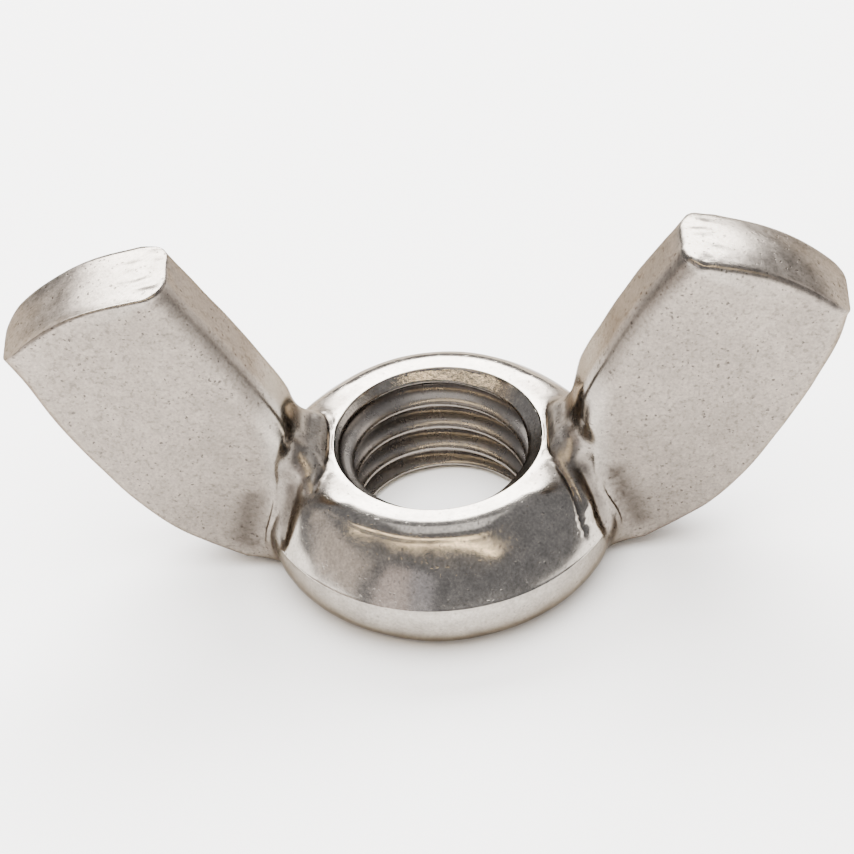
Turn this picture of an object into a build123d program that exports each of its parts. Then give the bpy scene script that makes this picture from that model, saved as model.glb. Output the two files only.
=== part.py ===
from build123d import *
from build123d.topology import SkipClean
import os
from math import radians, tan

# Driving dimensions in mm. +Z is the thread axis, the wings point along -X and +X,
# and the flat bearing face lies on Z = 0.
THREAD_MAJOR_D = 10.0          # M10 x 1.5, right-handed
THREAD_PITCH = 1.5
THREAD_MINOR_D = 8.376
THREAD_CREST_FLAT = 0.25       # of the pitch
THREAD_ROOT_FLAT = 0.125       # of the pitch
THREAD_START_Z = 0.54          # height of the groove where it crosses the +X line
HUB_HEIGHT = 6.35
HUB_TOP_R = 6.0                # outer edge of the flat rim round the mouth
HUB_SHOULDER_R = 6.9           # where the rim's rounding meets the sloping side
HUB_SHOULDER_DROP = 0.45
HUB_CREASE_R = 8.85            # widest turn of the hub
HUB_CREASE_Z = 3.2
HUB_SIDE_BULGE = 0.12          # how far the sloping side stands out of its chord
HUB_BAND_BULGE = 0.28          # how far the lower band has turned in at a third of its height
HUB_BASE_R = 7.5               # edge of the bearing face
MOUTH_R = 5.1                 # countersink at the top
BASE_MOUTH_R = 4.75            # small countersink at the bearing face
COUNTERSINK_ANGLE = 45.0       # of the wall, from the axis
WING_ROOT_T = 4.4              # wing thickness where it leaves the hub's rim
WING_TIP_T = 3.7               # and at the outer tip
WING_TIP_X = 20.6
WING_TOP_Z = 18.15
WING_OUTER_CORNER = 0.9        # corner between the under edge and the end face
WING_INNER_CORNER = 0.6        # corner between the end face and the inner edge
WING_EDGE_ROUND = 0.45         # rounding of the long edges

# Worked out from the above.
MINOR_R = THREAD_MINOR_D / 2
MAJOR_R = THREAD_MAJOR_D / 2
CORE_R = MAJOR_R + 0.3         # ring of metal that holds the thread
TOP_CONE = (MOUTH_R - MINOR_R) / tan(radians(COUNTERSINK_ANGLE))
BASE_CONE = (BASE_MOUTH_R - MINOR_R) / tan(radians(COUNTERSINK_ANGLE))


def turned(*points):
    """Solid of revolution about Z from the corners (radius, height) of its half section."""
    with BuildSketch(Plane.XZ) as section:
        with BuildLine():
            Polyline(*points, close=True)
        make_face()
    return revolve(section.sketch, axis=Axis.Z).solid()


def hub():
    """Hub without its core: base, convex lower band, crease, sloping side, rounded rim."""
    shoulder_z = HUB_HEIGHT - HUB_SHOULDER_DROP
    side_mid_r = (HUB_SHOULDER_R + HUB_CREASE_R) / 2 + HUB_SIDE_BULGE
    side_mid_z = (shoulder_z + HUB_CREASE_Z) / 2 + HUB_SIDE_BULGE
    rim_mid_r = (HUB_TOP_R + HUB_SHOULDER_R) / 2 + 0.06
    rim_mid_z = HUB_HEIGHT - 0.3 * HUB_SHOULDER_DROP
    band_mid = (HUB_CREASE_R - HUB_BAND_BULGE, 0.34 * HUB_CREASE_Z)
    with BuildSketch(Plane.XZ) as section:
        with BuildLine():
            base = Line((0, 0), (HUB_BASE_R, 0))
            band = ThreePointArc(base @ 1, band_mid, (HUB_CREASE_R, HUB_CREASE_Z))
            side = ThreePointArc(band @ 1, (side_mid_r, side_mid_z), (HUB_SHOULDER_R, shoulder_z))
            rim = ThreePointArc(side @ 1, (rim_mid_r, rim_mid_z), (HUB_TOP_R, HUB_HEIGHT))
            top = Line(rim @ 1, (0, HUB_HEIGHT))
            Line(top @ 1, base @ 0)
        make_face()
    return revolve(section.sketch, axis=Axis.Z).solid()


def wing_outline():
    """Side view of one wing: root inside the hub, under edge, end face, inner edge."""
    outer = (20.1, 13.95)
    inner = (11.85, 18.12)
    with BuildSketch(Plane.XZ) as outline:
        with BuildLine():
            under = Spline(
                (8.6, 0.3), (11.3, 1.6), (14.65, 4.5), (17.8, 9.5), outer,
                tangents=[(1, 0.25), (0.3, 1)],
            )
            end = ThreePointArc(under @ 1, (16.3, 16.8), inner)
            inner_edge = Spline(
                end @ 1, (8.45, 12.2), (6.8, 8.4), (6.2, HUB_HEIGHT - 0.6),
                tangents=[(-0.55, -1), (-0.3, -1)],
            )
            Polyline(inner_edge @ 1, (CORE_R + 0.2, 3.2), (6.6, 0.3), under @ 0)
        make_face()
        fillet(outline.vertices().sort_by_distance((outer[0], 0, outer[1]))[:1], WING_OUTER_CORNER)
        fillet(outline.vertices().sort_by_distance((inner[0], 0, inner[1]))[:1], WING_INNER_CORNER)
    return outline.sketch


def wing():
    """One wing: the outline given its thickness, thinner towards the tip, edges rounded."""
    slab = extrude(wing_outline(), amount=WING_ROOT_T, both=True)
    root_y = WING_ROOT_T / 2
    tip_y = WING_TIP_T / 2
    with BuildSketch(Plane.XY) as plan:
        with BuildLine():
            Polyline(
                (0, -root_y), (HUB_TOP_R, -root_y), (WING_TIP_X, -tip_y), (WING_TIP_X, tip_y),
                (HUB_TOP_R, root_y), (0, root_y), close=True,
            )
        make_face()
    body = (slab & extrude(plan.sketch, amount=WING_TOP_Z + 2)).solid()
    long_edges = [
        edge for edge in body.edges()
        if edge.center().X > HUB_TOP_R + 0.8 and abs(edge.center().Y) > 1.0 and edge.center().Z > 0.5
    ]
    return body.fillet(WING_EDGE_ROUND, long_edges)


def thread_groove():
    """The cut of the thread: its trapezoid section carried along a helix past both ends."""
    crest_half = (1 - THREAD_CREST_FLAT) * THREAD_PITCH / 2
    root_half = THREAD_ROOT_FLAT * THREAD_PITCH / 2
    inset = 0.15
    inset_half = crest_half + inset * tan(radians(30))
    path = Helix(pitch=THREAD_PITCH, height=HUB_HEIGHT + 2 * THREAD_PITCH, radius=MINOR_R)
    corners = [
        (MINOR_R - inset, inset_half), (MAJOR_R, root_half),
        (MAJOR_R, -root_half), (MINOR_R - inset, -inset_half),
    ]
    section = make_face(Plane.XZ * Polyline(*corners, close=True))
    return sweep(section, path=path, is_frenet=True).solid().moved(Location((0, 0, -THREAD_PITCH)))


def tapped_core():
    """Ring of metal round the bore: threaded, countersunk, left as quarter turns, and turned
    about Z so that the groove passes the +X line at its height."""
    ring = turned((MINOR_R, 0), (CORE_R, 0), (CORE_R, HUB_HEIGHT), (MINOR_R, HUB_HEIGHT))
    top_cone = turned(
        (0, HUB_HEIGHT - TOP_CONE), (MINOR_R, HUB_HEIGHT - TOP_CONE), (MOUTH_R, HUB_HEIGHT),
        (MOUTH_R, HUB_HEIGHT + 1), (0, HUB_HEIGHT + 1),
    )
    base_cone = turned((0, -1), (BASE_MOUTH_R, -1), (BASE_MOUTH_R, 0), (MINOR_R, BASE_CONE), (0, BASE_CONE))
    ring = ring.cut(thread_groove()).cut(top_cone).cut(base_cone)
    quarters = []
    for half in ring.split(Plane.XZ, keep=Keep.BOTH):
        for quarter in half.split(Plane.YZ, keep=Keep.BOTH):
            quarters.extend(quarter.solids())
    turn = -360 * THREAD_START_Z / THREAD_PITCH
    return [quarter.rotate(Axis.Z, turn) for quarter in quarters]


def nut():
    """The whole forging: hub, two wings half a turn apart, and the tapped core."""
    right = wing()
    left = right.rotate(Axis.Z, 180)
    outer = hub().fuse(right, left).solid()
    outer = outer.cut(turned((0, -1), (CORE_R, -1), (CORE_R, HUB_HEIGHT + 1), (0, HUB_HEIGHT + 1))).solid()
    with SkipClean():
        return outer.fuse(*tapped_core()).solid()


def main():
    """Write the nut's STEP file."""
    os.makedirs("parts", exist_ok=True)
    body = nut()
    body.label = "wing_nut"
    export_step(body, "parts/wing_nut.step")
    print("volume", round(body.volume, 1), "valid", body.is_valid, "faces", len(body.faces()))


main()
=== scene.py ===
import bpy
import math
import numpy as np
from collections import namedtuple
from mathutils import Matrix, Vector


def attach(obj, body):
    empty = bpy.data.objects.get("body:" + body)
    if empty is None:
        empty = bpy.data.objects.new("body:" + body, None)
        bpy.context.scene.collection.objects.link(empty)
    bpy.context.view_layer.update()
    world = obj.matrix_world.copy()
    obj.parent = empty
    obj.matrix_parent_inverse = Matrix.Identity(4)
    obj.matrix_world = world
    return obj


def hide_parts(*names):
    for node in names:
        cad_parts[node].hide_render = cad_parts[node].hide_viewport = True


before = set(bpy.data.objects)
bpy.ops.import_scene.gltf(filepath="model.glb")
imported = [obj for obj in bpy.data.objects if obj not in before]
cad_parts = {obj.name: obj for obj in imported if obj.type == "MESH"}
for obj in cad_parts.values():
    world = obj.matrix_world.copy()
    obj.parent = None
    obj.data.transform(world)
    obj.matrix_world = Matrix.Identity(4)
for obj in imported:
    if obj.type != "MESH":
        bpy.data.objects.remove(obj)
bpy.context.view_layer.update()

# Driving sizes, in mm. +Z is the thread axis, the wings point along -X and +X, and the flat
# bearing face lies on Z = 0.
MM = 0.001                     # metres in a millimetre

# Thread and countersinks.
PITCH = 1.5
MINOR_R = 4.188                # crest of the thread
MAJOR_R = 4.95                 # root of the thread
THREAD_START = 0.36            # of a turn: how far the groove runs ahead of the +X line
THREAD_SQUARENESS = 1.75       # how flat the crest and the root of the thread are
MOUTH_R = 5.08                 # countersink at the top
LIP_Z = 6.27                   # where that countersink turns over into the rim
BASE_MOUTH_R = 4.75            # small countersink at the bearing face
BORE_ROWS_PER_TURN = 16

# Half section of the hub, as (radius, height).
HUB_H = 6.35
LIP_MIDDLE = (5.105, 6.325)
LIP_R = 5.16                   # where the lip meets the flat of the rim
ROOT_FROM_R = 5.45             # where the roots of the wings begin on that flat
RIM_EDGE = (5.75, HUB_H)
RIM_MIDDLE = (6.38, 6.21)
SHOULDER = (6.88, 5.85)
SIDE_MIDDLE = (7.99, 4.65)
CREASE_START = (8.83, 3.25)
CREASE_MIDDLE = (8.86, 3.2)
CREASE_END = (8.855, 3.14)
BAND_MIDDLE = (8.57, 1.1)
BAND_END = (7.75, 0.12)
TOE_MIDDLE = (7.6, 0.03)
BASE_R = 7.45                  # edge of the bearing face
BAND_ROWS_BELOW_ROOT = 2       # rows of the lower band that pass under a wing's root

# Columns round the hub.
ROOT_HALF_Y = 2.75             # half width of the patch of hub that each wing grows from
STRAIGHT_R = 6.2               # inside this radius the columns keep a constant angle
COLS_WING = 44                 # columns across a wing
COLS_SIDE = 110                # columns round the hub between two wings, on each side
COLS_CROWDING = 0.72           # how much closer those are beside a wing

# Swellings at the corners of a wing's root.
LOBE_AT = (6.5, 2.3, 5.9)
LOBE_SPREAD = (1.1, 1.25, 1.2)
LOBE_RISE = 0.4
LOBE_FROM = (0.0, 0.0, 2.2)    # the point that the swellings are pushed away from
LOBE_CLEAR_R = 5.6             # the rim stays flat inside this radius
LOBE_FADE = 0.5

# Wings.
STATIONS = 62                  # rings along a wing
BLEND_RINGS = 18               # rings of the root fillet
TANGENT_ROUNDS = 40            # passes that turn the fillet's start directions smoothly at its corners
ARC_CELLS = 5                  # cells in each half of a rounded corner
WING_HALF_ROOT = 2.2           # half thickness of a wing at the hub
WING_HALF_TIP = 1.85           # and at its outer tip
TAPER_FROM_X = 6.0
TAPER_LENGTH = 14.3
ROUND_INNER = 1.3              # corners of a wing's section at the inner edge
ROUND_UNDER = 0.5              # at the under edge near the root
ROUND_TIP = 1.2                # and at the under edge near the tip
END_ROUND = 0.28               # rounding of the end face's edges
END_CROWN = 0.3                # height of its crown
CURVE_POINTS = 80              # points that an outline curve is worked out at
SECTION_POINTS = 120           # and a line across a wing

# Each wing's inner tip and outer tip in side view, as (x, z), and how far its inner edge leans in.
RIGHT_WING = ((12.0, 17.95), (19.75, 13.8), 0.65)
LEFT_WING = ((11.95, 17.9), (20.15, 13.8), 0.25)

# Smoothing of the roots before they are marked, and how the marks are laid.
ROOT_LINE_Z = (0.0, 0.4, 2.0, 3.8, 5.4, 6.9, 7.9, 8.5)
ROOT_LINE_X = (9.4, 9.4, 8.95, 8.6, 8.15, 7.5, 7.0, 6.6)
ROOT_OVERRUN = 0.6             # how far the smoothing reaches along a wing past that line
ROOT_HALF_REACH = 4.3          # how far it reaches across the hub, on each side
ROOT_SIDE_FADE = 1.3           # and over what width it fades out there
ROOT_IN_R = (5.2, 5.6)         # it sets in between these radii
ROOT_IN_Z = (0.05, 0.5)        # and between these heights
ROOT_MIN_X = 3.5
SMOOTH_ROUNDS = 160            # before the marks
RESMOOTH_ROUNDS = 16           # after the broad marks
BROAD_MARK = 0.25              # half width past which a mark is a broad one
LINE_STEP = 0.06               # spacing of the points along a mark
MARK_CLEARANCE = 0.04          # marks stay this far outside the mouth

# Waves of the skin, as (height, length): slow ones over the forging, crinkles at a wing's foot, and
# dents round the inner tips.
SLOW_WAVE = (0.012, 4.0)
MIDDLE_WAVE = (0.006, 1.7)
CRINKLE = (0.035, 0.55)
FINE_CRINKLE = (0.02, 0.28)
TIP_DENT = (0.035, 0.9)
WAVES_IN_R = (6.3, 7.2)        # the slow waves set in between these radii
WAVES_IN_Z = (0.02, 0.3)       # and all of them between these heights
INNER_TIP = (12.9, 17.6)       # middle of the dents, as (x, z)
INNER_TIP_SPREAD = (1.2, 1.0)  # squares of their reach

# Where each finish lies.
SATIN_IN_X = (7.4, 8.8)        # a wing's satin sets in between these distances from the axis
SATIN_HALF_Y = 3.2
SATIN_FADE_Y = 0.8
ROOT_SATIN = 0.75              # satin of the roots, where a wing's own is less
RUBBED = 0.55                  # how much of its satin the inner part of an end face has lost
RUBBED_X = 12.5                # middle of that part
RUBBED_REACH = 2.6
END_LINE = (12.0, 17.9, 0.55)  # x and z of a point on an end face, and how fast the face drops
END_IN = (-0.25, 0.1)          # an end face sets in between these distances above that line
END_MIN_X = 11
CONE_CLEARANCE = 0.03          # the thread begins this far outside the countersinks
THREAD_MAX_R = 5.0
# painted shade in the root of the thread
THREAD_SHADE = 0.85
THREAD_SHADE_R = (4.45, 4.85)   # the painted shade deepens between these radii, towards the root of the thread
MOUTH_MIN_Z = 5.7
MOUTH_ROUGH = 0.4
CRINKLE_DIRT = 0.8
CRINKLE_MIN_R = 6              # outside this radius roughness brings dirt
# painted shade on the inner edges, which face the thread axis
INNER_EDGE_SHADE = 0.45
INNER_EDGE_X = (6.2, 7.2)      # it sets in between these distances from the axis
INNER_EDGE_TURN = (0.25, 0.75)  # and as the skin turns this far towards the axis

# Marks pressed into the roots: height of the push, half width, how dark it is painted (real dirt at the
# folded edges, painted shade in the valleys and hollows), whether the back face has one too, and the line
# it follows.
Mark = namedtuple("Mark", "height half_width dirt both_faces line")
MARKS = [
    # swollen collar between the rim and a wing
    Mark(0.30, 0.62, 0.0, False,
         [(-5.95, 2.1, 6.7), (-5.9, 0.0, 6.9), (-6.0, -2.0, 6.8), (-6.5, -3.2, 5.8)]),
    Mark(0.30, 0.62, 0.0, False,
         [(5.95, 2.1, 6.7), (5.85, 0.0, 6.9), (6.0, -1.8, 6.8), (6.75, -3.1, 5.6), (7.3, -4.2, 4.0)]),
    # valley between that collar and a wing's face, with painted shade in it; the second one pushes nothing
    # and only paints more shade on the left one
    Mark(-0.20, 0.5, 0.75, True,
         [(-7.2, -2.6, 6.7), (-7.25, -2.75, 6.1), (-7.4, -3.1, 5.0), (-7.7, -3.9, 3.0)]),
    Mark(0.0, 0.7, 0.55, True,
         [(-7.0, -2.1, 8.3), (-7.2, -2.3, 7.0), (-7.5, -2.7, 5.6), (-8.0, -3.1, 3.4)]),
    Mark(-0.24, 0.5, 0.6, True,
         [(7.0, -2.5, 7.0), (7.1, -2.7, 6.1), (7.4, -3.1, 4.6), (7.9, -3.6, 2.6)]),
    # hollow at the foot of the inner edge, with painted shade in it
    Mark(-0.03, 0.9, 0.5, False, [(-7.1, -1.9, 8.4), (-6.9, 0.0, 8.2), (-7.1, 1.6, 8.4)]),
    Mark(-0.03, 0.9, 0.5, False, [(6.7, -1.9, 8.4), (6.5, 0.0, 8.2), (6.7, 1.6, 8.4)]),
    # thin ridge down a wing's face
    Mark(0.10, 0.14, 0.0, True,
         [(-7.9, -2.15, 7.8), (-7.95, -2.15, 6.75), (-8.1, -2.3, 4.1), (-8.7, -2.2, 1.6)]),
    Mark(0.10, 0.14, 0.0, True,
         [(7.65, -2.15, 7.0), (7.65, -2.3, 5.6), (8.0, -2.4, 3.7), (8.7, -2.2, 1.9)]),
    # folded edge of the collar over the rim
    Mark(-0.15, 0.11, 1.0, False,
         [(-6.0, 2.5, 6.5), (-5.35, 0.8, 6.35), (-5.32, -0.8, 6.35), (-5.6, -2.3, 6.4),
          (-6.1, -3.5, 6.25)]),
    Mark(-0.15, 0.11, 1.0, False,
         [(5.5, 2.25, 6.4), (5.3, 0.3, 6.3), (5.5, -1.7, 6.35), (6.0, -2.9, 6.2),
          (6.55, -3.9, 5.65), (6.9, -4.7, 4.4), (7.1, -5.0, 3.6)]),
]

# Crinkled patches at the foot of each wing's faces: from, to and half width.
Patch = namedtuple("Patch", "start end half_width")
CRINKLED_PATCHES = [
    Patch((-9.0, -2.1, 5.6), (-10.0, -2.1, 1.4), 0.75),
    Patch((8.3, -2.1, 6.2), (9.9, -2.1, 1.6), 0.65),
]


# Curves.
def arc3(start, middle, end, count):
    """Points of the circle through start, middle and end, evenly spaced by angle. Its centre is where
    the perpendicular bisectors of the two chords meet."""
    (x1, y1), (x2, y2), (x3, y3) = start, middle, end
    d = 2 * (x1 * (y2 - y3) + x2 * (y3 - y1) + x3 * (y1 - y2))
    s1, s2, s3 = x1 * x1 + y1 * y1, x2 * x2 + y2 * y2, x3 * x3 + y3 * y3
    cx = (s1 * (y2 - y3) + s2 * (y3 - y1) + s3 * (y1 - y2)) / d
    cy = (s1 * (x3 - x2) + s2 * (x1 - x3) + s3 * (x2 - x1)) / d
    radius = math.hypot(x1 - cx, y1 - cy)
    a1, a2, a3 = (math.atan2(y - cy, x - cx) for x, y in (start, middle, end))
    sweep = (a3 - a1) % (2 * math.pi)
    if (a2 - a1) % (2 * math.pi) > sweep:
        sweep -= 2 * math.pi
    a = a1 + sweep * np.linspace(0, 1, count)
    return np.c_[cx + radius * np.cos(a), cy + radius * np.sin(a)]


def level(from_r, to_r, height, count):
    """Straight run of (radius, height) points at one height."""
    return np.c_[np.linspace(from_r, to_r, count), np.full(count, height)]


def through(points, count):
    """Smooth curve through a few points: cubic pieces whose slope at a point is that of its neighbours."""
    p = np.array(points, float)
    gap = np.r_[0, np.cumsum(np.linalg.norm(np.diff(p, axis=0), axis=1))]
    slope = np.gradient(p, gap, axis=0)
    s = np.linspace(0, gap[-1], count)
    i = np.clip(np.searchsorted(gap, s, side="right") - 1, 0, len(p) - 2)
    h = (gap[i + 1] - gap[i])[:, None]
    t = ((s - gap[i]) / (gap[i + 1] - gap[i]))[:, None]
    return (
        (1 + 2 * t) * (1 - t) ** 2 * p[i] + t * (1 - t) ** 2 * h * slope[i]
        + t * t * (3 - 2 * t) * p[i + 1] + t * t * (t - 1) * h * slope[i + 1]
    )


def respace(curve, positions):
    """The curve's points at the given fractions of its length, on straight lines between its own."""
    gap = np.r_[0, np.cumsum(np.linalg.norm(np.diff(curve, axis=0), axis=1))]
    at = np.asarray(positions) * gap[-1]
    return np.stack([np.interp(at, gap, curve[:, k]) for k in range(curve.shape[1])], axis=1)


def crowded(count, ends):
    """Fractions 0 to 1, closer together at both ends: an even run less a sine wave of one period. ends
    is 0 for even, towards 1 for crowded."""
    s = np.linspace(0, 1, count)
    return s - ends * np.sin(2 * np.pi * s) / (2 * np.pi)


def smooth_step(x, lo, hi):
    """0 below lo, 1 above hi, and three times the square less twice the cube of the fraction between."""
    t = np.clip((x - lo) / (hi - lo), 0, 1)
    return t * t * (3 - 2 * t)


def unit(v):
    """Each vector divided by its length."""
    return v / np.maximum(np.linalg.norm(v, axis=-1, keepdims=True), 1e-9)


# Hub.
def hub_skin():
    """Half section of the hub's skin, as rows (radius, height) from the mouth's lip out over the rim,
    down the sloping side to the crease, round the lower band and in along the bearing face: arcs of
    circles, and level runs. Returns the rows and the first and last row that a wing's root takes up."""
    lip = arc3((MOUTH_R, LIP_Z), LIP_MIDDLE, (LIP_R, HUB_H), 6)
    inner_flat = level(LIP_R, ROOT_FROM_R, HUB_H, 4)
    outer_flat = level(ROOT_FROM_R, RIM_EDGE[0], HUB_H, 5)
    rim = arc3(RIM_EDGE, RIM_MIDDLE, SHOULDER, 13)
    side = arc3(SHOULDER, SIDE_MIDDLE, CREASE_START, 34)
    crease = arc3(CREASE_START, CREASE_MIDDLE, CREASE_END, 4)
    band = arc3(CREASE_END, BAND_MIDDLE, BAND_END, 28)
    toe = arc3(BAND_END, TOE_MIDDLE, (BASE_R, 0.0), 5)
    base = level(BASE_R, BASE_MOUTH_R, 0.0, 10)
    beside_root = [outer_flat, rim, side, crease, band]
    rows = np.concatenate([lip] + [run[1:] for run in [inner_flat, *beside_root, toe, base]])
    first = len(lip) + len(inner_flat) - 2
    last = first + sum(len(run) - 1 for run in beside_root) - BAND_ROWS_BELOW_ROOT
    return rows, first, last


def hub_columns(radius):
    """Angles of the columns at the given radii: each column keeps its place relative to the edges of the
    wings' roots, which lie at a constant distance from the XZ plane, so that their angle is the arcsine
    of that distance over the radius."""
    edge = np.arcsin(ROOT_HALF_Y / np.maximum(radius, STRAIGHT_R))[:, None]
    across = np.linspace(-1, 1, COLS_WING + 1)[None, :-1]
    along = crowded(COLS_SIDE + 1, COLS_CROWDING)[None, :-1]
    right = across * edge
    back = edge + along * (np.pi - 2 * edge)
    return np.concatenate([right, back, right + np.pi, back + np.pi, right[:, :1] + 2 * np.pi], axis=1)


def revolved(rows, angles):
    """Grid of points at the rows' radius and height, turned to each column's angle."""
    r, z = rows[:, :1], rows[:, 1:]
    return np.stack([r * np.cos(angles), r * np.sin(angles), z + 0 * angles], axis=-1)


def swell_roots(skin):
    """Pushes the skin out into a low lobe on each side of each wing's root. The push is a Gaussian of
    the distance from the lobe's centre, along the outward direction from the hub's middle."""
    sides = [(sx, sy, 1) for sx in (-1, 1) for sy in (-1, 1)]
    clear = np.clip((np.hypot(skin[..., 0], skin[..., 1]) - LOBE_CLEAR_R) / LOBE_FADE, 0, 1)
    out = skin.copy()
    for centre in np.array(LOBE_AT) * sides:
        away = (skin - centre) / np.array(LOBE_SPREAD)
        push = LOBE_RISE * np.exp(-0.5 * (away ** 2).sum(-1)) * clear
        out += push[..., None] * unit(centre - np.array(LOBE_FROM))
    return out


# Bore.
def thread_radius(phase):
    """Radius of the thread over one pitch: flanks between a rounded crest and a rounded root. The
    triangle wave of the phase is flattened at both ends by a hyperbolic tangent."""
    triangle = 4 * np.abs((phase % 1.0) - 0.5) - 1
    depth = 0.5 + 0.5 * np.tanh(THREAD_SQUARENESS * triangle) / np.tanh(THREAD_SQUARENESS)
    return MINOR_R + (MAJOR_R - MINOR_R) * depth


def bore_wall(angles):
    """Grid of the threaded wall. Rows follow the helix, one pitch per turn, and are held between the two
    faces; the radius is the larger of the thread's and the countersinks' at that height."""
    turn = angles / (2 * np.pi)
    first = -BORE_ROWS_PER_TURN - 1
    end = int((HUB_H / PITCH + 1) * BORE_ROWS_PER_TURN) + 2
    rows = np.arange(first, end) / BORE_ROWS_PER_TURN
    z = np.clip(PITCH * (rows[:, None] + turn[None, :]), 0, LIP_Z)
    cone_top = MOUTH_R - (LIP_Z - z)
    cone_base = BASE_MOUTH_R - z
    thread = thread_radius(z / PITCH - turn[None, :] - THREAD_START)
    r = np.maximum(np.maximum(thread, cone_top), cone_base)
    r = np.where(z >= LIP_Z, MOUTH_R, np.where(z <= 0, BASE_MOUTH_R, np.minimum(r, MOUTH_R)))
    a = angles[None, :] + 0 * z
    return np.stack([r * np.cos(a), r * np.sin(a), z], axis=-1)


# Wings.
def edge_run(length, r0, r1, cells):
    """One side of a rounded rectangle: (distance along, depth below the side) from the middle of the
    first corner's arc to the middle of the last corner's. The corners are quarter circles."""
    a = np.linspace(np.pi / 4, 0, ARC_CELLS + 1)
    first = np.c_[r0 * (1 - np.sin(a)), r0 * (1 - np.cos(a))]
    last = np.c_[length - r1 * (1 - np.sin(a[::-1])), r1 * (1 - np.cos(a[::-1]))]
    flat = np.linspace(r0, length - r1, cells - 2 * ARC_CELLS + 1)[1:-1]
    return np.concatenate([first, np.c_[flat, 0 * flat], last])


def section_loop(width, half, long_cells, round_under):
    """Rounded rectangle as a closed loop of (v, y): v is mm from the inner edge, y is across the wing.
    It starts at the middle of the inner front corner and runs down the front face, under, up the back
    and over the inner edge."""
    front = edge_run(width, ROUND_INNER, round_under, long_cells)
    under = edge_run(2 * half, round_under, round_under, COLS_WING)
    back = edge_run(width, round_under, ROUND_INNER, long_cells)
    inner = edge_run(2 * half, ROUND_INNER, ROUND_INNER, COLS_WING)
    sides = [
        np.c_[front[:, 0], front[:, 1] - half],
        np.c_[width - under[:, 1], under[:, 0] - half],
        np.c_[width - back[:, 0], half - back[:, 1]],
        np.c_[inner[:, 1], half - inner[:, 0]],
    ]
    return np.concatenate([s[:-1] for s in sides] + [sides[0][:1]])


def wing_half(x):
    """Half thickness at x: a straight taper from the rim to the outer tip."""
    along = np.clip((x - TAPER_FROM_X) / TAPER_LENGTH, 0, 1)
    return WING_HALF_ROOT + (WING_HALF_TIP - WING_HALF_ROOT) * along


class WingShape:
    """The side view of one wing, drawn for +X as (x, z): inner edge, under edge, root line and end. lean
    is how far the inner edge stands closer to the thread axis than an upright one."""

    def __init__(self, inner_tip, outer_tip, lean):
        foot_in, foot_under = (6.75 - 0.4 * lean, 7.85), (9.4, 0.4)
        inner = [foot_in, (7.6 - lean, 9.6), (8.85 - lean, 12.1), (10.45 - lean, 14.9), inner_tip]
        under = [
            foot_under, (11.35, 1.5), (13.05, 2.65), (14.75, 4.4), (16.6, 7.1), (18.3, 10.1),
            (19.45, 12.6), outer_tip,
        ]
        root = [foot_in, (7.5, 6.9), (8.15, 5.4), (8.6, 3.8), (8.95, 2.0), foot_under]
        belly = (outer_tip[0] - 3.3, outer_tip[1] + 2.75)
        near_tip = (outer_tip[0] - 0.62, outer_tip[1] + 0.72)
        self.inner = through(inner, CURVE_POINTS)
        self.under = through(under, CURVE_POINTS)
        self.end = through([inner_tip, belly, near_tip, outer_tip], CURVE_POINTS)
        self.root = through(root, CURVE_POINTS)

    def section(self, u, v):
        """Coons patch: points (x, z) at the fraction u from root to end, for fractions v from the inner
        edge to the under edge. It blends the four edge curves."""
        lo, hi = respace(self.inner, [u])[0], respace(self.under, [u])[0]
        start, end = respace(self.root, v), respace(self.end, v)
        v = v[:, None]
        corners = (
            (1 - u) * (1 - v) * self.inner[0] + (1 - u) * v * self.under[0]
            + u * (1 - v) * self.inner[-1] + u * v * self.under[-1]
        )
        return (1 - v) * lo + v * hi + (1 - u) * start + u * end - corners

    def rings(self, long_cells):
        """Section loops carried along the wing, one ring per station, from the root to the end. The
        under corner's radius grows with the square of the way along."""
        out = []
        for u in np.linspace(0, 1, STATIONS + 1):
            line = self.section(u, np.linspace(0, 1, SECTION_POINTS))
            width = np.linalg.norm(np.diff(line, axis=0), axis=1).sum()
            round_under = ROUND_UNDER + (ROUND_TIP - ROUND_UNDER) * u * u
            loop = section_loop(width, WING_HALF_ROOT, long_cells, round_under)
            xz = respace(line, loop[:, 0] / width)
            y = loop[:, 1] / WING_HALF_ROOT * wing_half(xz[:, 0])
            out.append(np.c_[xz[:, 0], y, xz[:, 1]])
        return np.array(out)


def patch_loop(skin, first, last, column):
    """The edge of the hub's patch as a loop in the order of a section loop, and the direction in which
    the skin runs into the patch at each of its points: the difference from the next row or column out,
    averaged at the corners and then along the loop."""
    c0, c1 = column, column + COLS_WING
    front = skin[first:last + 1, c0]
    under = skin[last, c0:c1 + 1]
    back = skin[first:last + 1, c1][::-1]
    inner = skin[first, c0:c1 + 1][::-1]
    before = c0 - 1 if c0 else skin.shape[1] - 2
    runs = [
        unit(front - skin[first:last + 1, before]),
        unit(under - skin[last + 1, c0:c1 + 1]),
        unit(back - skin[first:last + 1, c1 + 1][::-1]),
        unit(inner - skin[first - 1, c0:c1 + 1][::-1]),
    ]
    for k in range(4):
        corner = unit(runs[k][-1] + runs[(k + 1) % 4][0])
        runs[k][-1] = corner
        runs[(k + 1) % 4][0] = corner
    tangent = np.concatenate([run[:-1] for run in runs])
    for _ in range(TANGENT_ROUNDS):
        tangent = unit(np.roll(tangent, 1, 0) + 2 * tangent + np.roll(tangent, -1, 0))
    loop = np.concatenate([front[:-1], under[:-1], back[:-1], inner])
    return loop, np.concatenate([tangent, tangent[:1]])


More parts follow.
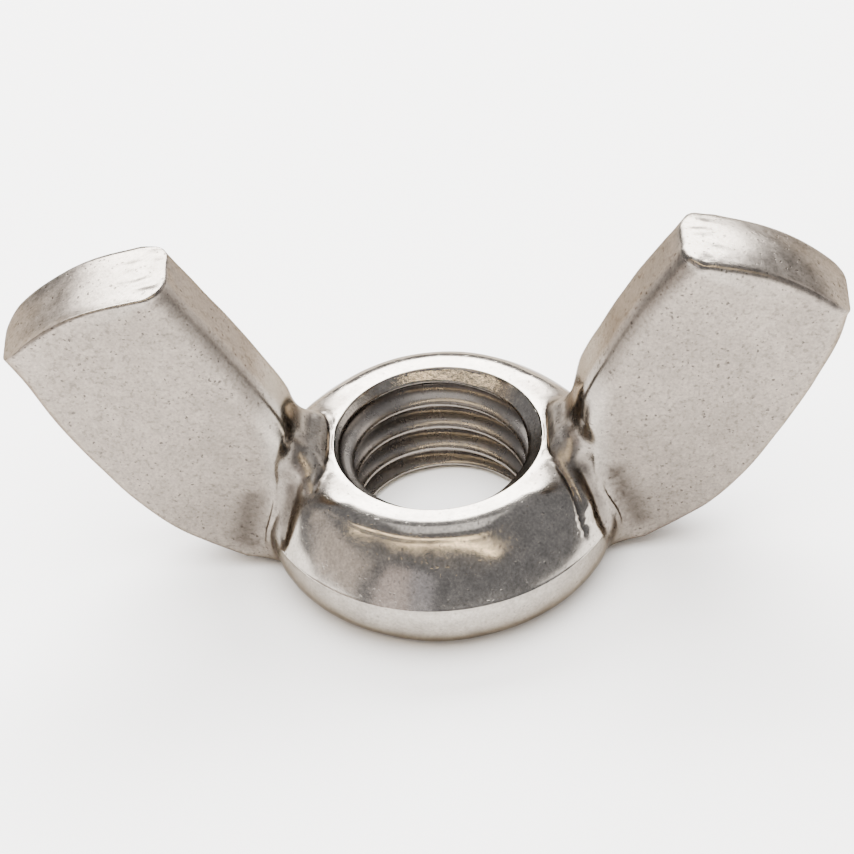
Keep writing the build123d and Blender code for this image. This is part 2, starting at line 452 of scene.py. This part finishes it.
def root_fillet(loop, tangent, ring0, ring1):
    """Cubic Hermite bridge from the hub's patch to a wing's first ring: it leaves along the skin and
    arrives along the wing."""
    arrive = unit(ring1 - ring0)
    span = np.linalg.norm(ring0 - loop, axis=1, keepdims=True)
    t = np.linspace(0, 1, BLEND_RINGS + 1)[:, None, None]
    out = (
        (1 + 2 * t) * (1 - t) ** 2 * loop + t * (1 - t) ** 2 * span * tangent
        + t * t * (3 - 2 * t) * ring0 + t * t * (t - 1) * span * arrive
    )
    out[0], out[-1] = loop, ring0
    return out


def quarter_round(depth):
    """Rise of a quarter circle of radius END_ROUND, as a fraction of it, at a depth in from the edge."""
    return np.sqrt(np.clip(1 - (1 - np.clip(depth / END_ROUND, 0, 1)) ** 2, 0, 1))


def end_cap(ring, long_cells):
    """End face: the last ring filled with a Coons patch and raised along the wing. The height is a
    quarter circle in from the edge in both directions, plus a crown that falls off as a parabola both
    across the wing and along the end."""
    n, m = long_cells, COLS_WING
    front, under = ring[:n + 1], ring[n:n + m + 1]
    back, inner = ring[n + m:2 * n + m + 1][::-1], ring[2 * n + m:][::-1]
    v = np.linspace(0, 1, n + 1)[:, None, None]
    a = np.linspace(0, 1, m + 1)[None, :, None]
    grid = (
        (1 - a) * front[:, None] + a * back[:, None] + (1 - v) * inner[None] + v * under[None]
        - (1 - a) * (1 - v) * front[0] - a * (1 - v) * back[0]
        - (1 - a) * v * front[-1] - a * v * back[-1]
    )
    run = np.gradient(front, axis=0)
    out_dir = unit(np.stack([-run[:, 2], 0 * run[:, 0], run[:, 0]], axis=1) * np.sign(run[:, :1]))[:, None]
    in_y = np.minimum(grid[..., 1] - front[:, None, 1], back[:, None, 1] - grid[..., 1])
    from_inner = np.linalg.norm(grid - inner[None], axis=-1)
    from_under = np.linalg.norm(grid - under[None], axis=-1)
    rise = quarter_round(in_y) * quarter_round(from_inner) * quarter_round(from_under)
    half = (back[:, 1] - front[:, 1])[:, None] / 2
    width = np.linalg.norm(front[-1] - front[0])
    across = np.clip(1 - (grid[..., 1] / half) ** 2, 0, 1)
    along = np.clip(1 - (2 * from_inner / width - 1) ** 2, 0, 1)
    return grid + (rise * (END_ROUND + END_CROWN * across * along))[..., None] * out_dir


def turned_half(points):
    """The points turned half a turn about the thread axis."""
    return points * np.array([-1.0, -1.0, 1.0])


# Mesh.
def welded(grids):
    """Vertices, quads and triangles of one closed mesh, from grids that share their border points.
    Points that agree to a ten-thousandth of a millimetre become one vertex."""
    verts, faces, base = [], [], 0
    for grid, flip in grids:
        m, n = grid.shape[:2]
        i, j = np.meshgrid(np.arange(m - 1), np.arange(n - 1), indexing="ij")
        a = base + i * n + j
        quad = np.stack([a, a + 1, a + n + 1, a + n], axis=-1).reshape(-1, 4)
        faces.append(quad[:, ::-1] if flip else quad)
        verts.append(grid.reshape(-1, 3))
        base += m * n
    verts, faces = np.concatenate(verts), np.concatenate(faces)
    key = np.round(verts * 1e4).astype(np.int64)
    _, index, inverse = np.unique(key, axis=0, return_index=True, return_inverse=True)
    verts, faces = verts[index], inverse.reshape(-1)[faces]
    same = np.stack([faces[:, k] == faces[:, (k + 1) % 4] for k in range(4)], axis=1)
    count = same.sum(1)
    quads = faces[(count == 0) & (faces[:, 0] != faces[:, 2]) & (faces[:, 1] != faces[:, 3])]
    tris = [faces[(count == 1) & same[:, k]][:, [c for c in range(4) if c != k]] for k in range(4)]
    return verts, quads, np.concatenate(tris)


def outward(verts, quads, tris):
    """Unit normal at each vertex: the sum of the face normals round it, weighted by area."""
    tri = np.concatenate([quads[:, [0, 1, 2]], quads[:, [0, 2, 3]], tris])
    a, b, c = (verts[tri[:, k]] for k in range(3))
    face = np.cross(b - a, c - a)
    total = np.zeros_like(verts)
    for k in range(3):
        for axis in range(3):
            total[:, axis] += np.bincount(tri[:, k], face[:, axis], len(verts))
    return unit(total)


def relaxed(verts, quads, share, rounds):
    """Moves each vertex part of the way to the middle of its neighbours, round after round. share is
    how far it may move, 0 to 1."""
    pairs = np.concatenate([quads[:, [k, (k + 1) % 4]] for k in range(4)])
    busy = share > 0.01
    pairs = pairs[busy[pairs[:, 0]]]
    count = np.maximum(np.bincount(pairs[:, 0], minlength=len(verts)), 1)
    for _ in range(rounds):
        total = [np.bincount(pairs[:, 0], verts[pairs[:, 1], k], len(verts)) for k in range(3)]
        middle = np.stack(total, axis=1) / count[:, None]
        verts = np.where(busy[:, None], verts + 0.5 * share[:, None] * (middle - verts), verts)
    return verts


def build_nut():
    """The nut: threaded wall, hub skin with two openings, and a wing on each opening, welded and then
    given the forging's marks."""
    rows, first, last = hub_skin()
    skin = swell_roots(revolved(rows, hub_columns(rows[:, 0])))
    skin[:, -1] = skin[:, 0]
    wall = bore_wall(hub_columns(np.array([MOUTH_R]))[0])
    long_cells = last - first
    left_column = COLS_WING + COLS_SIDE
    grids = [
        (wall, True),
        (skin[:first + 1], True),
        (skin[last:], True),
        (skin[first:last + 1, COLS_WING:left_column + 1], True),
        (skin[first:last + 1, left_column + COLS_WING:], True),
    ]
    right_rings = WingShape(*RIGHT_WING).rings(long_cells)
    left_rings = turned_half(WingShape(*LEFT_WING).rings(long_cells))
    for rings, column in ((right_rings, 0), (left_rings, left_column)):
        loop, tangent = patch_loop(skin, first, last, column)
        bridge = root_fillet(loop, tangent, rings[0], rings[1])
        grids += [(bridge, False), (rings, False), (end_cap(rings[-1], long_cells), True)]
    verts, quads, tris = welded(grids)
    verts, finish = forged(verts, quads, tris)
    return verts, quads, tris, finish


# Forging marks.
def on_surface(points, verts):
    """The line through the points, taken onto the nearest vertices of the mesh and averaged along."""
    line = through(points, 40)
    length = np.linalg.norm(np.diff(line, axis=0), axis=1).sum()
    line = respace(line, np.linspace(0, 1, int(length / LINE_STEP)))
    near = np.array([verts[np.argmin(((verts - p) ** 2).sum(1))] for p in line])
    for _ in range(4):
        near[1:-1] = (near[:-2] + 2 * near[1:-1] + near[2:]) / 4
    return near


def nearness(verts, line, width):
    """1 on the line, falling off as a Gaussian of the distance over the width, and fading out over
    about the last seventh of the line at both ends."""
    lo, hi = line.min(0) - 3 * width, line.max(0) + 3 * width
    inside = np.where(((verts > lo) & (verts < hi)).all(1))[0]
    gap = ((verts[inside, None] - line[None]) ** 2).sum(-1)
    along = gap.argmin(1) / (len(line) - 1)
    out = np.zeros(len(verts))
    out[inside] = np.exp(-gap.min(1) / width ** 2) * smooth_step(0.5 - np.abs(along - 0.5), -0.02, 0.14)
    return out


def waves(verts, size, seed, count=14):
    """Sum of sine waves of about the given (height, length), in seeded random directions."""
    height, length = size
    rng = np.random.default_rng(seed)
    way = unit(rng.normal(size=(count, 3))) / (length * rng.uniform(0.7, 1.4, (count, 1)))
    phase = rng.uniform(0, 2 * np.pi, count)
    return height * (np.sin(2 * np.pi * verts @ way.T + phase).sum(1) / np.sqrt(count))


def root_share(verts):
    """How much of each vertex belongs to a wing's root, 0 to 1: a product of smooth steps out from the
    rim's inner edge, across the hub, up from the bearing face, and along the wing to its root line."""
    x, y, z = verts.T
    off_mouth = smooth_step(np.hypot(x, y), *ROOT_IN_R)
    near_wing = smooth_step(ROOT_HALF_REACH - np.abs(y), 0, ROOT_SIDE_FADE)
    off_base = smooth_step(z, *ROOT_IN_Z)
    reach = np.interp(z, ROOT_LINE_Z, ROOT_LINE_X) + ROOT_OVERRUN
    before_line = smooth_step(reach - np.abs(x), 0, 2 * ROOT_OVERRUN) * (np.abs(x) > ROOT_MIN_X)
    return off_mouth * near_wing * off_base * before_line


def marked(verts, quads, tris, marks, dirt):
    """Pushes each mark's height times its nearness along the normals. Returns the vertices, and the
    dirt and painted shade with the marks' own added where it is the greater."""
    push = np.zeros(len(verts))
    for mark in marks:
        for side in ((1, -1) if mark.both_faces else (1,)):
            line = on_surface(np.array(mark.line) * (1, side, 1), verts)
            near = nearness(verts, line, mark.half_width)
            push += mark.height * near
            dirt = np.maximum(dirt, mark.dirt * near)
    push *= np.hypot(verts[:, 0], verts[:, 1]) > MOUTH_R + MARK_CLEARANCE
    return verts + push[:, None] * outward(verts, quads, tris), dirt


def crinkled_share(verts):
    """Nearness of each vertex to the crinkled patches on both faces of the wings."""
    share = np.zeros(len(verts))
    for patch in CRINKLED_PATCHES:
        middle = np.add(patch.start, patch.end) / 2
        for side in (1, -1):
            line = on_surface(np.array([patch.start, middle, patch.end]) * (1, side, 1), verts)
            share = np.maximum(share, nearness(verts, line, patch.half_width))
    return share


def crinkles_and_waves(verts, crinkled):
    """Height to push each vertex by: crinkles of two lengths on the patches, slow waves of two lengths
    over the forged skin, and dents within a Gaussian of each inner tip; none at the bearing face."""
    x, y, z = verts.T
    push = crinkled * (waves(verts, CRINKLE, seed=5) + waves(verts, FINE_CRINKLE, seed=6))
    skin = smooth_step(np.hypot(x, y), *WAVES_IN_R)
    push += skin * (waves(verts, SLOW_WAVE, seed=1) + waves(verts, MIDDLE_WAVE, seed=2))
    off_x, off_z = np.abs(x) - INNER_TIP[0], z - INNER_TIP[1]
    inner_tip = np.exp(-(off_x ** 2 / INNER_TIP_SPREAD[0] + off_z ** 2 / INNER_TIP_SPREAD[1]))
    push += inner_tip * waves(verts, TIP_DENT, seed=8)
    return push * smooth_step(z, *WAVES_IN_Z)


def finish_of(verts, normals, root, dirt, crinkled):
    """Satin, dirt and painted shade, roughness and thread of each vertex, 0 to 1. Satin is on the wings
    and most of their roots, less at the inner part of the end faces. The dark share is painted shade in
    the thread's root, the marks' valleys and hollows and the inner edges, which face the thread axis, and
    real dirt in the marks' folded edges and the crinkles. Roughness is in the crinkles and the
    countersink."""
    x, y, z = verts.T
    radius = np.hypot(x, y)
    off_top_cone = radius > MOUTH_R - LIP_Z + z + CONE_CLEARANCE
    off_base_cone = radius > BASE_MOUTH_R - z + CONE_CLEARANCE
    in_thread = (radius < THREAD_MAX_R) & off_top_cone & off_base_cone
    in_mouth = (radius < MOUTH_R) & (z > MOUTH_MIN_Z) & ~in_thread
    rough = np.where(in_mouth, MOUTH_ROUGH, crinkled)
    # painted shade in the thread, deeper towards its root
    dirt = np.where(in_thread, smooth_step(radius, *THREAD_SHADE_R) * THREAD_SHADE, dirt)
    dirt = np.maximum(dirt, np.where(radius > CRINKLE_MIN_R, CRINKLE_DIRT * rough, 0))
    toward_axis = -normals[:, 0] * np.sign(x)
    # painted shade where the skin faces the thread axis, on the inner edges
    inner_edge_shade = smooth_step(toward_axis, *INNER_EDGE_TURN) * smooth_step(np.abs(x), *INNER_EDGE_X)
    dirt = np.maximum(dirt, INNER_EDGE_SHADE * inner_edge_shade)
    wing = smooth_step(np.abs(x), *SATIN_IN_X) * smooth_step(SATIN_HALF_Y - np.abs(y), 0, SATIN_FADE_Y)
    end_z = END_LINE[1] - END_LINE[2] * (np.abs(x) - END_LINE[0])
    end_face = smooth_step(z - end_z, *END_IN) * (np.abs(x) > END_MIN_X)
    rubbed = end_face * np.exp(-((np.abs(x) - RUBBED_X) / RUBBED_REACH) ** 2)
    satin = np.maximum(wing, ROOT_SATIN * root) * (1 - RUBBED * rubbed)
    return np.stack([satin, dirt, rough, np.where(in_thread, 1.0, 0.0)], axis=1)


def forged(verts, quads, tris):
    """Gives the clean shape its marks: roots smoothed, then broad marks, thin marks, and crinkles and
    slow waves, all pushed along the normals. Returns the vertices and the finish of each."""
    root = root_share(verts)
    verts = relaxed(verts, quads, root, SMOOTH_ROUNDS)
    broad = [mark for mark in MARKS if mark.half_width > BROAD_MARK]
    thin = [mark for mark in MARKS if mark.half_width <= BROAD_MARK]
    verts, dirt = marked(verts, quads, tris, broad, np.zeros(len(verts)))
    verts = relaxed(verts, quads, root, RESMOOTH_ROUNDS)
    verts, dirt = marked(verts, quads, tris, thin, dirt)
    crinkled = crinkled_share(verts)
    push = crinkles_and_waves(verts, crinkled)
    worn = verts + push[:, None] * outward(verts, quads, tris)
    return worn, finish_of(verts, outward(worn, quads, tris), root, dirt, crinkled)


def make_object(name, verts, quads, tris, finish, material):
    """Blender mesh from the arrays, shaded smooth, with the finish kept on its vertices."""
    mesh = bpy.data.meshes.new(name)
    mesh.from_pydata((verts * MM).tolist(), [], quads.tolist() + tris.tolist())
    mesh.update()
    mesh.polygons.foreach_set("use_smooth", np.ones(len(mesh.polygons), bool))
    mesh.materials.append(material)
    finish_of_vertex = mesh.attributes.new("finish", "FLOAT_COLOR", "POINT")
    finish_of_vertex.data.foreach_set("color", finish.astype(np.float32).ravel())
    obj = bpy.data.objects.new(name, mesh)
    bpy.context.scene.collection.objects.link(obj)
    return obj


# Stainless steel. Pattern sizes are in repeats per mm.
POLISHED_STEEL = (0.375, 0.342, 0.300, 1)
SATIN_STEEL = (0.262, 0.228, 0.195, 1)
THREAD_STEEL = (0.25, 0.225, 0.205, 1)
PIT_COLOUR = (0.06, 0.052, 0.047, 1)
# dark colour of the real dirt in the folds and crinkles, and of the painted shade in the thread's root,
# the valleys at the roots and on the inner edges
DIRT_AND_SHADE_COLOUR = (0.055, 0.045, 0.038, 1)
GRAZING_TINT = (0.36, 0.33, 0.30, 1)      # holds back the glare at the edges
CLOUDS_PER_MM = 0.35
BLOTCHES_PER_MM = 1.6
FRECKLES_PER_MM = 4.4
CRINKLES_PER_MM = 5.0
STIRRING_PER_MM = 6.0
GRAIN_PER_MM = 7.0
PITS_PER_MM = 4.3
PIT_STIRRING = 0.00022                    # metres that a pit's outline is pulled about by
PIT_RADIUS = 0.38                         # of a pit's cell, for the largest
RELIEF_DEPTH = 0.00002                    # metres, for a relief of 1
POLISH_ROUGHNESS = (0.13, 0.20)
SATIN_ROUGHNESS = (0.30, 0.40)
ADDED_ROUGHNESS = 0.12                    # in the crinkles, the countersink and the thread


class Nodes:
    """Short names for adding and joining shader nodes."""

    def __init__(self, material):
        material.use_nodes = True
        self.tree = material.node_tree
        self.shader = self.tree.nodes["Principled BSDF"]

    def put(self, kind, sockets=None, **settings):
        """A new node with its settings, and its sockets set or joined."""
        node = self.tree.nodes.new(kind)
        for key, value in settings.items():
            setattr(node, key, value)
        for key, value in (sockets or {}).items():
            self.join(value, node.inputs[key])
        return node

    def join(self, value, socket):
        """Links the socket to an output, or sets it to a plain value."""
        if isinstance(value, bpy.types.NodeSocket):
            self.tree.links.new(value, socket)
        else:
            socket.default_value = value

    def maths(self, operation, a, b):
        """a and b put together by the operation."""
        return self.put("ShaderNodeMath", {0: a, 1: b}, operation=operation).outputs[0]

    def blend(self, share, a, b):
        """Colour a where the share is 0, and b where it is 1."""
        return self.put("ShaderNodeMix", {0: share, 6: a, 7: b}, data_type="RGBA").outputs[2]

    def tinted(self, colour, shade):
        """The colour times a grey shade."""
        grey = self.put("ShaderNodeCombineColor", {0: shade, 1: shade, 2: shade}).outputs[0]
        sockets = {0: 1.0, 6: colour, 7: grey}
        return self.put("ShaderNodeMix", sockets, data_type="RGBA", blend_type="MULTIPLY").outputs[2]

    def number(self, share, a, b):
        """Number a where the share is 0, and b where it is 1."""
        return self.put("ShaderNodeMix", {0: share, 2: a, 3: b}, data_type="FLOAT").outputs[0]

    def between(self, value, lo, hi, out_lo=0.0, out_hi=1.0):
        """The value's place between lo and hi, in a straight line from out_lo to out_hi and held there."""
        return self.put("ShaderNodeMapRange", {0: value, 1: lo, 2: hi, 3: out_lo, 4: out_hi}).outputs[0]

    def spread(self, noise, low, high):
        """The usual span of a noise, 0.3 to 0.7, taken onto low to high."""
        return self.between(noise, 0.3, 0.7, low, high)

    def noise(self, place, per_mm, detail, rough=0.5):
        """Cloudy pattern of 0 to 1 with so many repeats to the millimetre."""
        sockets = {"Vector": place, "Scale": per_mm / MM, "Detail": detail, "Roughness": rough}
        return self.put("ShaderNodeTexNoise", sockets).outputs[0]


def pits(n, place, blotches, satin):
    """Depth of the pits, 0 to 1: one in each cell of a stirred Voronoi pattern, its size picked at random
    from none to PIT_RADIUS. There are more where the blotches are, and on satin."""
    stir = n.put("ShaderNodeTexNoise", {"Vector": place, "Scale": STIRRING_PER_MM / MM, "Detail": 2.0})
    sockets = {0: stir.outputs["Color"], 1: (PIT_STIRRING,) * 3, 2: place}
    stirred = n.put("ShaderNodeVectorMath", sockets, operation="MULTIPLY_ADD").outputs[0]
    sockets = {"Vector": stirred, "Scale": PITS_PER_MM / MM, "Randomness": 1.0}
    cells = n.put("ShaderNodeTexVoronoi", sockets)
    pick = n.put("ShaderNodeSeparateColor", {0: cells.outputs["Color"]}).outputs[0]
    size = n.between(pick, 0.2, 1.0, 0.0, PIT_RADIUS)
    depth = n.between(n.maths("SUBTRACT", size, cells.outputs["Distance"]), 0.0, 0.10)
    depth = n.maths("MULTIPLY", depth, n.between(blotches, 0.40, 0.55, 0.2, 1.0))
    return n.maths("MULTIPLY", depth, n.number(satin, 0.4, 1.0))


def steel_colour(n, place, blotches, grain, pit, satin, dirt, thread):
    """Polished or satin steel, shaded by clouds, blotches, grain and freckles, then darkened in the
    thread, the pits, and the dirt and painted shade."""
    clouds = n.noise(place, CLOUDS_PER_MM, 5, 0.6)
    freckles = n.between(n.noise(place, FRECKLES_PER_MM, 2), 0.54, 0.68, 1.0, 0.70)
    shade = n.spread(clouds, 0.86, 1.10)
    shade = n.maths("MULTIPLY", shade, n.spread(blotches, 0.86, 1.10))
    shade = n.maths("MULTIPLY", shade, n.spread(grain, 0.80, 1.16))
    shade = n.maths("MULTIPLY", shade, n.number(satin, 1.0, freckles))
    # real dirt in the folds and crinkles, and painted shade in the thread's root, the root valleys and on
    # the inner edges
    dirt_and_shade_share = n.maths("MULTIPLY", dirt, n.spread(blotches, 0.7, 1.0))
    colour = n.tinted(n.blend(satin, POLISHED_STEEL, SATIN_STEEL), shade)
    colour = n.blend(n.maths("MULTIPLY", thread, 0.6), colour, THREAD_STEEL)
    colour = n.blend(n.maths("MULTIPLY", pit, 0.85), colour, PIT_COLOUR)
    return n.blend(dirt_and_shade_share, colour, DIRT_AND_SHADE_COLOUR)


def steel_roughness(n, blotches, satin, rough, thread):
    """Roughness of the polish or the satin, which follows the blotches, and more in the crinkles, the
    countersink and the thread."""
    polish = n.spread(blotches, *POLISH_ROUGHNESS)
    matte = n.spread(blotches, *SATIN_ROUGHNESS)
    roughness = n.number(satin, polish, matte)
    roughness = n.maths("ADD", roughness, n.maths("MULTIPLY", rough, ADDED_ROUGHNESS))
    return n.maths("ADD", roughness, n.maths("MULTIPLY", thread, ADDED_ROUGHNESS))


def steel_relief(n, place, grain, pit, satin, rough):
    """Normal of the fine relief: grain, stronger on satin, crinkles where it is rough, and the pits."""
    crinkle = n.maths("MULTIPLY", n.noise(place, CRINKLES_PER_MM, 3), n.maths("MULTIPLY", rough, 3.0))
    height = n.maths("MULTIPLY", grain, n.number(satin, 0.12, 0.6))
    height = n.maths("ADD", height, crinkle)
    height = n.maths("SUBTRACT", height, n.maths("MULTIPLY", pit, 0.9))
    sockets = {"Height": height, "Strength": 0.5, "Distance": RELIEF_DEPTH}
    return n.put("ShaderNodeBump", sockets).outputs[0]


def stainless():
    """Forged and tumbled stainless: satin on the wings, polished on the hub, brown residue in the
    folds and crinkles, painted shade in the thread's root, the valleys at the wings' roots and on the
    inner edges, fine pits and cloudy patches."""
    mat = bpy.data.materials.new("forged stainless steel")
    n = Nodes(mat)
    place = n.put("ShaderNodeTexCoord").outputs["Object"]
    finish = n.put("ShaderNodeAttribute", attribute_name="finish", attribute_type="GEOMETRY")
    satin, dirt, rough = n.put("ShaderNodeSeparateColor", {0: finish.outputs["Color"]}).outputs
    thread = finish.outputs["Alpha"]
    blotches = n.noise(place, BLOTCHES_PER_MM, 4, 0.6)
    grain = n.noise(place, GRAIN_PER_MM, 3, 0.6)
    pit = pits(n, place, blotches, satin)
    colour = steel_colour(n, place, blotches, grain, pit, satin, dirt, thread)
    n.join(colour, n.shader.inputs["Base Color"])
    n.join(steel_roughness(n, blotches, satin, rough, thread), n.shader.inputs["Roughness"])
    n.join(steel_relief(n, place, grain, pit, satin, rough), n.shader.inputs["Normal"])
    n.shader.inputs["Metallic"].default_value = 1.0
    n.shader.inputs["Specular Tint"].default_value = GRAZING_TINT
    return mat


# Stage, in metres.
FLOOR_HALF = 1.5
FLOOR_COLOUR = (0.92, 0.91, 0.9, 1)
FLOOR_ROUGHNESS = 0.9
DIM_ROOM = (0.9, 0.92, 1.0, 1)
DIM_ROOM_STRENGTH = 0.45
HUB_MIDDLE = (0, 0, 0.01)
WHITE = (1, 1, 1)
Panel = namedtuple("Panel", "name place aim size power colour")
PANELS = [
    Panel("back soft box", (-0.05, 0.37, 0.33), HUB_MIDDLE, (0.6, 0.3), 14.0, WHITE),
    Panel("left card", (-0.45, -0.19, 0.14), HUB_MIDDLE, (0.3, 0.25), 0.27, (1.0, 0.86, 0.74)),
    Panel("pink card", (-0.26, -0.42, 0.14), HUB_MIDDLE, (0.16, 0.25), 0.14, (1.0, 0.84, 0.78)),
    Panel("lilac card", (-0.13, -0.48, 0.15), HUB_MIDDLE, (0.12, 0.25), 0.06, (0.92, 0.9, 1.0)),
    Panel("overhead sheet", (0.0, -0.02, 0.55), HUB_MIDDLE, (0.35, 0.25), 0.5, WHITE),
    Panel("right card", (0.45, 0.15, 0.2), HUB_MIDDLE, (0.2, 0.3), 0.3, (1.0, 0.93, 0.86)),
    Panel("warm strip", (-0.08, -0.295, 0.415), HUB_MIDDLE, (0.9, 0.022), 1.1, (1.0, 0.80, 0.50)),
]
FLOOR_FILL = Panel("floor fill", (0.0, -0.05, 0.6), (0, 0, 0), (0.6, 0.6), 12.5, WHITE)


def floor():
    """Pale matte square under the bearing face."""
    s = FLOOR_HALF
    mesh = bpy.data.meshes.new("floor")
    mesh.from_pydata([(-s, -s, 0), (s, -s, 0), (s, s, 0), (-s, s, 0)], [], [(0, 1, 2, 3)])
    obj = bpy.data.objects.new("floor", mesh)
    bpy.context.scene.collection.objects.link(obj)
    mat = bpy.data.materials.new("pale floor")
    mat.use_nodes = True
    shader = mat.node_tree.nodes["Principled BSDF"]
    shader.inputs["Base Color"].default_value = FLOOR_COLOUR
    shader.inputs["Roughness"].default_value = FLOOR_ROUGHNESS
    mesh.materials.append(mat)


def hang(panel):
    """Area light from the panel's place, turned to face its aim."""
    data = bpy.data.lights.new(panel.name, "AREA")
    data.shape = "RECTANGLE"
    data.size, data.size_y = panel.size
    data.energy = panel.power
    data.color = panel.colour
    obj = bpy.data.objects.new(panel.name, data)
    bpy.context.scene.collection.objects.link(obj)
    obj.location = panel.place
    obj.rotation_euler = (Vector(panel.aim) - Vector(panel.place)).to_track_quat("-Z", "Y").to_euler()
    return obj


def studio_light():
    """Soft panels round the nut, a fill that only the floor and matte things show, and a dim room."""
    for panel in PANELS:
        hang(panel)
    hang(FLOOR_FILL).visible_glossy = False
    world = bpy.data.worlds.new("dim surroundings")
    world.use_nodes = True
    background = world.node_tree.nodes["Background"]
    background.inputs["Color"].default_value = DIM_ROOM
    background.inputs["Strength"].default_value = DIM_ROOM_STRENGTH
    bpy.context.scene.world = world


CAMERA_TURN = math.radians(-3.74)
CAMERA_TILT = math.radians(42.3)
CAMERA_ROLL = math.radians(-5.48)
CAMERA_AIM = (-0.48, 0.0, 7.03)           # mm
CAMERA_REACH = 160.0                      # mm
CAMERA_LENS = 138.6                       # mm, for a sensor of the width below
CAMERA_SENSOR = 36.0
CAMERA_NEAR = 0.005                       # m, nothing nearer is drawn


def camera():
    """Camera above the front, aimed between the wings, turned and rolled a little."""
    ahead = Vector((math.sin(CAMERA_TURN), math.cos(CAMERA_TURN), 0)) * math.cos(CAMERA_TILT)
    ahead.z = -math.sin(CAMERA_TILT)
    right = Vector((math.cos(CAMERA_TURN), -math.sin(CAMERA_TURN), 0))
    up = right.cross(ahead)
    rolled_right = right * math.cos(CAMERA_ROLL) + up * math.sin(CAMERA_ROLL)
    rolled_up = up * math.cos(CAMERA_ROLL) - right * math.sin(CAMERA_ROLL)
    place = (Vector(CAMERA_AIM) - ahead * CAMERA_REACH) * MM
    data = bpy.data.cameras.new("camera")
    data.lens, data.sensor_width = CAMERA_LENS, CAMERA_SENSOR
    data.clip_start = CAMERA_NEAR
    obj = bpy.data.objects.new("camera", data)
    bpy.context.scene.collection.objects.link(obj)
    turn = Matrix((rolled_right, rolled_up, -ahead)).transposed()
    obj.matrix_world = Matrix.Translation(place) @ turn.to_4x4()
    bpy.context.scene.camera = obj


nut = make_object("wing_nut_forging", *build_nut(), stainless())
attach(nut, "root")
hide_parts("wing_nut")
floor()
studio_light()
camera()
